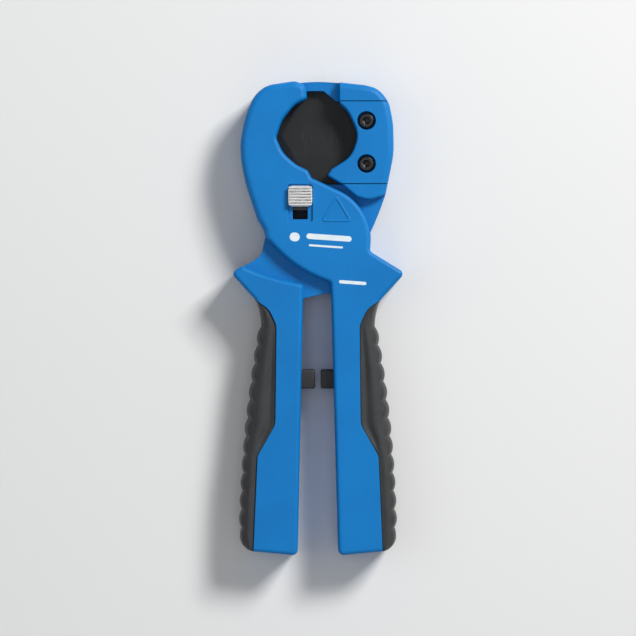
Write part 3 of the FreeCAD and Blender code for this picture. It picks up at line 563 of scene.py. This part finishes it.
def rounded_line(corners, step=6.0):
    """Points along straight runs joined by tangent arcs; corners are (x, y, radius)."""
    points = []
    spots = [Vector((x, y)) for x, y, _ in corners]
    for index, (spot, corner) in enumerate(zip(spots, corners)):
        radius = corner[2]
        if not radius:
            points.append(spot)
            continue
        back = (spots[index - 1] - spot).normalized()
        ahead = (spots[(index + 1) % len(spots)] - spot).normalized()
        half = back.angle(ahead) / 2
        centre = spot + (back + ahead).normalized() * (radius / math.sin(half))
        start = spot + back * (radius / math.tan(half)) - centre
        end = spot + ahead * (radius / math.tan(half)) - centre
        turn = math.copysign(math.pi - 2 * half, start.cross(end))
        count = max(2, math.ceil(math.degrees(abs(turn)) / step))
        for part in range(count + 1):
            points.append(centre + Matrix.Rotation(turn * part / count, 2) @ start)
    return points


def across_at(line, height):
    """X of a line that runs down the tool, at this Y."""
    for (x0, y0), (x1, y1) in zip(line, line[1:]):
        if y1 <= height <= y0:
            return x0 + (x1 - x0) * (y0 - height) / max(y0 - y1, 1e-9)
    return line[0][0] if height > line[0][1] else line[-1][0]


def eased(value, low, high):
    """0 below low, 1 above high and a smooth rise between."""
    share = min(1.0, max(0.0, (value - low) / (high - low)))
    return share * share * (3 - 2 * share)


# ------------------------------------------------------------------ soft grips

GRIP_SEAM = rounded_line(
    [
        (28.6, 8.3, 0),
        (22.3, 4.0, 9),
        (18.9, -3.2, 9),
        (19.4, -48.6, 8),
        (27.5, -62.8, 5),
        (29.4, -106.4, 0),
    ]
)
CORE_LINE = rounded_line(
    [(22.3, -2.0, 0), (27.9, -34.0, 80), (31.6, -80.0, 80), (32.0, -103.0, 5), (14.0, -103.0, 0)]
)
CORE_TOP, CORE_END = -2.0, -103.0
CORE_REAR, CORE_FRONT = 4.0, 20.0
SEAM_TOP = 8.25
SIDE_TOP = 26.0  # X of the outer side where the ribs start
SIDE_LOW = 35.1  # and where they end
RIB_TOP = -3.9
RIB_PITCH = 8.35
RIB_COUNT = 11
RIB_RISE = 1.15
RIB_END = RIB_TOP - RIB_PITCH * RIB_COUNT
HEEL_RISE = 0.7
FOOT = (29.4, -99.8)  # centre of the quarter ellipse that ends the grip
FOOT_REACH = (6.4, 6.55)
CROWN_Z = 23.62
FOOT_ROUND = 1.9
SEAM_SINK = 0.28
DISH = 0.95
ROUNDNESS = 2 / 2.25  # power of the side's curve: 1 is round, less is squarer
DISH_RUNS, SIDE_RUNS = 9, 16
RIB_STATIONS = 18


def grip_side(height):
    """The grip's smooth outer side at this Y, and how far a finger rib stands out there."""
    if height > RIB_TOP:
        return SIDE_TOP + 0.0172 * (height - RIB_TOP) ** 2, 0.0
    down = (RIB_TOP - height) / (RIB_PITCH * RIB_COUNT)
    if down <= 1.0:
        share = (down * RIB_COUNT) % 1.0
        return SIDE_TOP + 16.5 * down - 7.4 * down**2, RIB_RISE * (1 - (2 * share - 1) ** 2)
    if height > FOOT[1]:
        share = (RIB_END - height) / (RIB_END - FOOT[1])
        return SIDE_LOW, HEEL_RISE * (1 - (1 - share) ** 2)
    drop = min(1.0, (FOOT[1] - height) / FOOT_REACH[1])
    left = math.sqrt(1 - drop**2)
    return FOOT[0] + (SIDE_LOW - FOOT[0]) * left, HEEL_RISE * left


def grip_section(height):
    """One closed section across the grip at this Y, as (x, z) from seam to outside and back."""
    seam = across_at(GRIP_SEAM, height)
    side, rib = grip_side(height)
    width = max(side - seam, 0.25)
    wide = eased(width, 6.5, 10.5)
    crown = seam + width * (0.38 + 0.12 * wide)
    past_foot = max(0.0, FOOT_ROUND - (height - (FOOT[1] - FOOT_REACH[1])))
    drop = FOOT_ROUND - math.sqrt(max(0.0, FOOT_ROUND**2 - past_foot**2))
    top = CROWN_Z - drop
    lip = top - SEAM_SINK
    turn = min(0.5, width * 0.15)
    front = [(seam, lip - turn)]
    for step in range(1, 4):
        angle = math.radians(30 * step)
        front.append((seam + turn * (1 - math.cos(angle)), lip - turn * (1 - math.sin(angle))))
    for step in range(1, DISH_RUNS + 1):
        share = step / DISH_RUNS
        x = seam + turn + (crown - seam - turn) * share
        dip = DISH * wide * math.sin(math.pi * share**0.8) ** 2
        front.append((x, lip + (top - lip) * eased(share, 0.0, 1.0) - dip))
    reach = max(side - crown, 0.1)
    for step in range(1, SIDE_RUNS + 1):
        share = step / SIDE_RUNS
        angle = math.radians(90 * share)
        x = crown + reach * math.sin(angle) ** ROUNDNESS + rib * eased(share, 0.30, 0.46)
        front.append((x, MIDDLE + (top - MIDDLE) * math.cos(angle) ** ROUNDNESS))
    rear = [(x, 2 * MIDDLE - z) for x, z in reversed(front[:-1])]
    room = seam + 0.3
    if CORE_END < height < CORE_TOP:
        room = max(room, across_at(CORE_LINE, height))
    inside = [(seam, CORE_REAR), (room, CORE_REAR), (room, CORE_FRONT), (seam, CORE_FRONT)]
    return front + rear + inside


def grip_stations():
    """The heights of the sections, closer together where the outline turns."""
    heights = [SEAM_TOP - 0.4 * step for step in range(26)]
    height = RIB_TOP
    while height > FOOT[1]:
        heights.append(height)
        height -= RIB_PITCH / RIB_STATIONS
    heights += [level + gap for level in (CORE_TOP, CORE_END) for gap in (0.02, -0.02)]
    heights += [FOOT[1] - FOOT_REACH[1] * math.sin(math.radians(4 * step)) for step in range(22)]
    ordered = sorted(set(heights), reverse=True)
    kept = [ordered[0]]
    for height in ordered[1:]:
        if kept[-1] - height > 0.015:
            kept.append(height)
    return kept


def soft_grip(label, node, body, side):
    """The rubber cover of one handle, hollow where the handle's core stands in it."""
    shape = bmesh.new()
    rings = [
        [shape.verts.new((side * x, height, z)) for x, z in grip_section(height)]
        for height in grip_stations()
    ]
    for upper, lower in zip(rings, rings[1:]):
        join_rings(shape, upper, lower)
    caps = [shape.faces.new(rings[0]), shape.faces.new(rings[-1])]
    bmesh.ops.triangulate(shape, faces=caps)
    made = to_object(label, shape, SOFT_GRIP, 38.0)
    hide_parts(node)
    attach(made, body)


soft_grip("grip_cover_right", "grip_right", "hook_lever", 1)
soft_grip("grip_cover_left", "grip_left", "blade_arm", -1)


# ------------------------------------------------------------------ rubber stops

STOP_TALL = 8.8
STOP_MIDDLE = -27.9
STOP_REAR, STOP_FRONT = 7.0, 17.0
STOP_ROUND = 0.85


def rubber_stop(label, node, body, tip, back_low, back_top):
    """A rubber block with round edges; its back lies on the handle's sloping side."""
    low, top = STOP_MIDDLE - STOP_TALL / 2, STOP_MIDDLE + STOP_TALL / 2
    plan = [(back_top, top), (tip, top), (tip, low), (back_low, low)]
    shape = bmesh.new()
    floor = [shape.verts.new((x, y, STOP_REAR)) for x, y in plan]
    roof = [shape.verts.new((x, y, STOP_FRONT)) for x, y in plan]
    shape.faces.new(floor)
    shape.faces.new(roof)
    join_rings(shape, floor, roof)
    backs = {floor[0], floor[3], roof[0], roof[3]}
    edges = [edge for edge in shape.edges if not set(edge.verts) <= backs]
    bmesh.ops.bevel(shape, geom=edges, offset=STOP_ROUND, segments=5, profile=0.5, affect="EDGES")
    made = to_object(label, shape, STOP_RUBBER, 40.0)
    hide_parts(node)
    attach(made, body)


rubber_stop("rubber_stop_right", "stop_right", "hook_lever", 1.2, 7.21, 6.97)
rubber_stop("rubber_stop_left", "stop_left", "blade_arm", -1.3, -7.58, -7.38)


# ------------------------------------------------------------------ screws

KNURL_TEETH = 36
KNURL_DEPTH = 0.045  # a share of the head's radius
RIM_POINTS = 2 * KNURL_TEETH
CLAMP_SCREW_HEADS = [(22.1, 89.9), (22.1, 70.3)]
CLAMP_HEAD_TOP = 22.9
SHELL_SCREW_HEADS = [(-29.4, 62.0), (-29.4, 88.0), (13.4, 5.6), (13.6, -44.0), (18.6, -98.0)]
SHELL_HEAD_TOP = 0.5


def add_rings(shape, rings):
    """Skin over rings of points in order, closed with a point at each end."""
    made = [[shape.verts.new(point) for point in ring] for ring in rings]
    count = max(len(ring) for ring in made)
    for first, second in zip(made, made[1:]):
        for index in range(count):
            after = (index + 1) % count
            around = (
                first[index % len(first)],
                first[after % len(first)],
                second[after % len(second)],
                second[index % len(second)],
            )
            shape.faces.new(list(dict.fromkeys(around)))


def round_ring(radius, height, knurl=0.0):
    """A circle of points, with every other one pulled in for a knurl."""
    ring = []
    for k in range(RIM_POINTS):
        angle = 2 * math.pi / RIM_POINTS * k
        reach = radius * (1 - knurl * (k % 2))
        ring.append((reach * math.cos(angle), reach * math.sin(angle), height))
    return ring


def socket_ring(flats, height):
    """A hexagon of points, this wide across its flats."""
    ring = []
    for k in range(RIM_POINTS):
        angle = 2 * math.pi * k / RIM_POINTS
        radius = flats / 2 / math.cos(angle % (math.pi / 3) - math.pi / 6)
        ring.append((radius * math.cos(angle), radius * math.sin(angle), height))
    return ring


def cap_screw(head, high, key, shank, long):
    """A socket-head screw with a knurled rim; its head's top is at 0 and it points down."""
    deep = 0.6 * high
    shape = bmesh.new()
    add_rings(
        shape,
        [
            [(0, 0, -deep - 0.25 * key)],
            socket_ring(key, -deep),
            socket_ring(key, -0.22),
            socket_ring(key + 0.45, 0.0),
            round_ring(head - 0.75, 0.0),
            round_ring(head - 0.50, -0.05),
            round_ring(head - 0.12, -0.42),
            round_ring(head, -0.55, KNURL_DEPTH),
            round_ring(head, -high + 0.45, KNURL_DEPTH),
            round_ring(head - 0.12, -high + 0.3),
            round_ring(head - 0.12, -high),
            round_ring(shank, -high),
            round_ring(shank, -high - long + 0.4),
            round_ring(shank - 0.4, -high - long),
            [(0, 0, -high - long)],
        ],
    )
    return shape


def new_piece_tree(name, inputs, output):
    """An empty Geometry Nodes tree with inputs as {name: kind} and one geometry output."""
    tree = bpy.data.node_groups.new(name, "GeometryNodeTree")
    for label, kind in inputs.items():
        tree.interface.new_socket(label, in_out="INPUT", socket_type="NodeSocket" + kind)
    tree.interface.new_socket(output, in_out="OUTPUT", socket_type="NodeSocketGeometry")
    return tree, tree.nodes.new("NodeGroupInput").outputs


def end_tree(tree, geometry, finish):
    """The end of a tree: instances made real and given their finish."""
    real = add(tree, "GeometryNodeRealizeInstances", {"Geometry": geometry})
    done = add(tree, "GeometryNodeSetMaterial", {"Geometry": real.outputs[0], "Material": finish})
    out = tree.nodes.new("NodeGroupOutput")
    tree.links.new(done.outputs[0], out.inputs[0])
    return tree


def screw_tree():
    """A tree that sets one screw on every point of a mesh."""
    kinds = {"Places": "Geometry", "Screw": "Object", "Finish": "Material"}
    tree, given = new_piece_tree("Set of screws", kinds, "Screws")
    screw = add(tree, "GeometryNodeObjectInfo", {"Object": given["Screw"]}).outputs["Geometry"]
    placed = add(
        tree, "GeometryNodeInstanceOnPoints", {"Points": given["Places"], "Instance": screw}
    )
    return end_tree(tree, placed.outputs[0], given["Finish"])


def run_tree(name, start, tree, values, sharp=32.0):
    """The plain mesh that a Geometry Nodes tree makes from a start mesh and named values."""
    holder = bpy.data.objects.new(name, start)
    scene.collection.objects.link(holder)
    modifier = holder.modifiers.new("tree", "NODES")
    modifier.node_group = tree
    for socket in tree.interface.items_tree:
        if socket.in_out == "INPUT" and socket.name in values:
            modifier[socket.identifier] = values[socket.name]
    evaluated = holder.evaluated_get(bpy.context.evaluated_depsgraph_get())
    made = bpy.data.meshes.new_from_object(evaluated)
    holder.modifiers.clear()
    holder.data = made
    made.name = name
    shade_smooth(made, sharp)
    return holder


SCREW_TREE = screw_tree()


def screw_set(label, node, body, shape, places, height, rearward=False):
    """All the screws of one node, from one screw shape and the places of their heads."""
    if rearward:
        bmesh.ops.rotate(shape, verts=shape.verts, matrix=Matrix.Rotation(math.pi, 3, "X"))
    one = to_object(label + "_one", shape, BLACK_STEEL)
    points = bpy.data.meshes.new(label)
    points.from_pydata([(x * MM, y * MM, height * MM) for x, y in places], [], [])
    made = run_tree(label, points, SCREW_TREE, {"Screw": one, "Finish": BLACK_STEEL})
    bpy.data.objects.remove(one)
    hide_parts(node)
    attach(made, body)


screw_set(
    "clamp_cap_screws",
    "clamp_screws",
    "blade_arm",
    cap_screw(head=3.5, high=4.0, key=3.0, shank=2.0, long=16.7),
    CLAMP_SCREW_HEADS,
    CLAMP_HEAD_TOP,
)
screw_set(
    "shell_cap_screws",
    "shell_screws",
    "hook_lever",
    cap_screw(head=2.8, high=2.5, key=2.5, shank=1.5, long=14.0),
    SHELL_SCREW_HEADS,
    SHELL_HEAD_TOP,
    rearward=True,
)


# ------------------------------------------------------------------ thumb button

BUTTON_X = -8.1
BUTTON_LOW, BUTTON_TALL = 50.8, 9.3
BUTTON_WIDE = 10.9
BUTTON_BASE, BUTTON_DECK = 23.05, 25.85
STEM_WIDE, STEM_TALL = 6.6, 6.8
STEM_BASE, STEM_TOP = 20.0, 23.3
RIDGES = 7
RIDGE_PITCH = 1.3
RIDGE_RADIUS = 0.47
RIDGE_Z = 26.28
RIDGE_FALL = 0.02  # how much lower each ridge lies, times its steps from the middle squared


def ridge_tree():
    """A tree that lays round-ended ridges across a block, lower towards its ends."""
    kinds = {
        "Block": "Geometry",
        "Ridges": "Int",
        "Pitch": "Float",
        "Length": "Float",
        "Radius": "Float",
        "Fall": "Float",
        "Centre": "Vector",
        "Finish": "Material",
    }
    tree, given = new_piece_tree("Thumb ridges", kinds, "Button")
    start = add(tree, "ShaderNodeCombineXYZ", {"X": maths(tree, "MULTIPLY", given["Length"], -0.5)})
    end = add(tree, "ShaderNodeCombineXYZ", {"X": maths(tree, "MULTIPLY", given["Length"], 0.5)})
    ends = {"Start": start.outputs[0], "End": end.outputs[0]}
    line = add(tree, "GeometryNodeCurvePrimitiveLine", ends)
    line = add(tree, "GeometryNodeResampleCurve", {"Curve": line.outputs[0], "Count": 25})
    factor = tree.nodes.new("GeometryNodeSplineParameter").outputs["Factor"]
    off = maths(tree, "ABSOLUTE", maths(tree, "MULTIPLY_ADD", factor, 2.0, -1.0))
    taper = maths(tree, "SUBTRACT", 1.0, maths(tree, "POWER", off, 14.0), clamp=True)
    taper = maths(tree, "MAXIMUM", maths(tree, "POWER", taper, 0.5), 0.05)
    line = add(tree, "GeometryNodeSetCurveRadius", {"Curve": line.outputs[0], "Radius": taper})
    ring = {"Resolution": 16, "Radius": given["Radius"]}
    section = add(tree, "GeometryNodeCurvePrimitiveCircle", ring)
    ridge = add(
        tree,
        "GeometryNodeCurveToMesh",
        {"Curve": line.outputs[0], "Profile Curve": section.outputs[0], "Fill Caps": True},
    )
    along = add(tree, "ShaderNodeCombineXYZ", {"Y": given["Pitch"]})
    spacing = {"Count": given["Ridges"], "Offset": along.outputs[0]}
    row = add(tree, "GeometryNodeMeshLine", spacing)
    number = tree.nodes.new("GeometryNodeInputIndex").outputs[0]
    middle = maths(tree, "MULTIPLY", maths(tree, "SUBTRACT", given["Ridges"], 1.0), 0.5)
    steps = maths(tree, "SUBTRACT", number, middle)
    fall = maths(tree, "MULTIPLY", maths(tree, "MULTIPLY", steps, steps), given["Fall"])
    back = maths(tree, "MULTIPLY", middle, given["Pitch"])
    shift = add(
        tree,
        "ShaderNodeCombineXYZ",
        {"Y": maths(tree, "MULTIPLY", back, -1.0), "Z": maths(tree, "MULTIPLY", fall, -1.0)},
    )
    shift = add(tree, "ShaderNodeVectorMath", {0: shift.outputs[0], 1: given["Centre"]})
    moved = {"Geometry": row.outputs[0], "Offset": shift.outputs[0]}
    row = add(tree, "GeometryNodeSetPosition", moved)
    laid = {"Points": row.outputs[0], "Instance": ridge.outputs[0]}
    placed = add(tree, "GeometryNodeInstanceOnPoints", laid)
    joined = tree.nodes.new("GeometryNodeJoinGeometry")
    tree.links.new(placed.outputs[0], joined.inputs[0])
    tree.links.new(given["Block"], joined.inputs[0])
    return end_tree(tree, joined.outputs[0], given["Finish"])


def add_block(shape, left, right, low, high, floor, roof, corner, edge=0.0):
    """An upright block with round corners and, if asked, a round upper edge."""
    corners = [(left, low, corner), (right, low, corner), (right, high, corner), (left, high, corner)]
    plan = rounded_line(corners, 12.0)
    below = [shape.verts.new((x, y, floor)) for x, y in plan]
    above = [shape.verts.new((x, y, roof)) for x, y in plan]
    shape.faces.new(below)
    lid = shape.faces.new(above)
    join_rings(shape, below, above)
    if edge:
        rim = list(lid.edges)
        bmesh.ops.bevel(shape, geom=rim, offset=edge, segments=4, profile=0.5, affect="EDGES")


def thumb_button():
    """The metal button: a block on its stem, with ridges across its top."""
    left, right = BUTTON_X - BUTTON_WIDE / 2, BUTTON_X + BUTTON_WIDE / 2
    low, high = BUTTON_LOW, BUTTON_LOW + BUTTON_TALL
    shape = bmesh.new()
    add_block(shape, left, right, low, high, BUTTON_BASE, BUTTON_DECK, 1.5, 0.7)
    left, right = BUTTON_X - STEM_WIDE / 2, BUTTON_X + STEM_WIDE / 2
    low, high = BUTTON_LOW + 0.4, BUTTON_LOW + 0.4 + STEM_TALL
    add_block(shape, left, right, low, high, STEM_BASE, STEM_TOP, 0.5)
    block = to_object("button_block", shape, BUTTON_METAL)
    values = {
        "Ridges": RIDGES,
        "Pitch": RIDGE_PITCH * MM,
        "Length": (BUTTON_WIDE - 0.5) * MM,
        "Radius": RIDGE_RADIUS * MM,
        "Fall": RIDGE_FALL * MM,
        "Centre": (BUTTON_X * MM, (BUTTON_LOW + BUTTON_TALL / 2) * MM, RIDGE_Z * MM),
        "Finish": BUTTON_METAL,
    }
    start = block.data
    bpy.data.objects.remove(block)
    made = run_tree("thumb_button", start, ridge_tree(), values)
    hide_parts("lock_button")
    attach(made, "lock")


thumb_button()


# ------------------------------------------------------------------ return spring


def return_coil():
    """The hidden spring between its leg in the fork and its leg in the hub, copied as it stands in
    the model.
    """
    shape = bmesh.new()
    shape.from_mesh(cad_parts["return_spring"].data)
    bmesh.ops.remove_doubles(shape, verts=shape.verts, dist=0.001 * MM)
    bmesh.ops.scale(shape, vec=(1 / MM, 1 / MM, 1 / MM), verts=shape.verts)
    made = to_object("return_coil", shape, SPRING_STEEL)
    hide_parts("return_spring")
    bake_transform(made)


return_coil()


# ------------------------------------------------------------------ printed marks

PRINT_TILT = -4.0
INK_BELOW, INK_ABOVE = 0.05, 0.03
PRINT_BARS = [  # centre, length and width
    ((-10.6, 36.9), 4.6, 4.0),
    ((5.0, 36.6), 20.6, 2.5),
    ((3.6, 32.6), 15.6, 0.9),
    ((15.8, 16.1), 12.4, 1.5),
]


def add_bar(shape, centre, long, wide):
    """A thin bar of ink with round ends, tilted a little."""
    points = []
    radius = wide / 2
    for end, turned in ((1, 0.0), (-1, math.pi)):
        for step in range(13):
            angle = math.radians(-90 + 15 * step) + turned
            x = end * (long / 2 - radius) + radius * math.cos(angle)
            points.append(Vector((x, radius * math.sin(angle), 0)))
    tilt = Matrix.Rotation(math.radians(PRINT_TILT), 4, "Z")
    place = Matrix.Translation((*centre, FRONT)) @ tilt
    low = [shape.verts.new(place @ (point - Vector((0, 0, INK_BELOW)))) for point in points]
    top = [shape.verts.new(place @ (point + Vector((0, 0, INK_ABOVE)))) for point in points]
    shape.faces.new(low)
    shape.faces.new(top)
    join_rings(shape, low, top)


def printed_bars():
    """Plain white marks on the web: a dot and three bars."""
    ink = bmesh.new()
    for centre, long, wide in PRINT_BARS:
        add_bar(ink, centre, long, wide)
    made = to_object("printed_bars", ink, WHITE_INK)
    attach(made, "hook_lever")


printed_bars()


# ------------------------------------------------------------------ floor, light, camera

FLOOR_HALF = 2500.0
FLOOR_GAP = 0.05
LIGHTS = [  # name, place and size in metres, watts and colour
    ("key", (0.95, 1.0, 1.15), 0.5, 34.0, (1.0, 0.99, 0.97)),
    ("fill", (-1.1, 0.1, 1.3), 1.2, 3.6, (0.95, 0.97, 1.0)),
    ("low_fill", (0.1, -1.3, 0.9), 1.0, 2.2, (1.0, 1.0, 1.0)),
    ("overhead", (0.0, 0.0, 1.9), 0.9, 2.8, (1.0, 1.0, 1.0)),
]
SKY_COLOUR = (0.86, 0.88, 0.9, 1)
SKY_STRENGTH = 0.22
CAMERA_HIGH = 1.6  # metres above the floor
VIEW_WIDE = 0.2894  # metres across the view at the tool's front face


def make_floor():
    """A wide pale sheet just under the tool."""
    shape = bmesh.new()
    bmesh.ops.create_grid(shape, x_segments=2, y_segments=2, size=FLOOR_HALF)
    bmesh.ops.translate(shape, vec=(0, 0, -FLOOR_GAP), verts=shape.verts)
    made = to_object("floor", shape, make_floor_finish())


def soft_light(name, place, size, power, colour):
    """A square light that looks at the tool."""
    data = bpy.data.lights.new(name, "AREA")
    data.shape = "SQUARE"
    data.size = size
    data.energy = power
    data.color = colour
    made = bpy.data.objects.new(name, data)
    made.location = place
    made.rotation_euler = (-Vector(place)).to_track_quat("-Z", "Y").to_euler()
    scene.collection.objects.link(made)


def make_sky():
    """An even, pale light from all round."""
    world = bpy.data.worlds.new("studio")
    world.use_nodes = True
    sky = world.node_tree.nodes["Background"].inputs
    sky["Color"].default_value = SKY_COLOUR
    sky["Strength"].default_value = SKY_STRENGTH
    scene.world = world


def make_camera():
    """A camera that looks straight down at the tool."""
    data = bpy.data.cameras.new("camera")
    data.lens = data.sensor_width * (CAMERA_HIGH - FRONT * MM) / VIEW_WIDE
    made = bpy.data.objects.new("camera", data)
    made.location = (0, 0, CAMERA_HIGH)
    scene.collection.objects.link(made)
    scene.camera = made


make_floor()
for light in LIGHTS:
    soft_light(*light)
make_sky()
make_camera()
scene.view_settings.view_transform = "Standard"
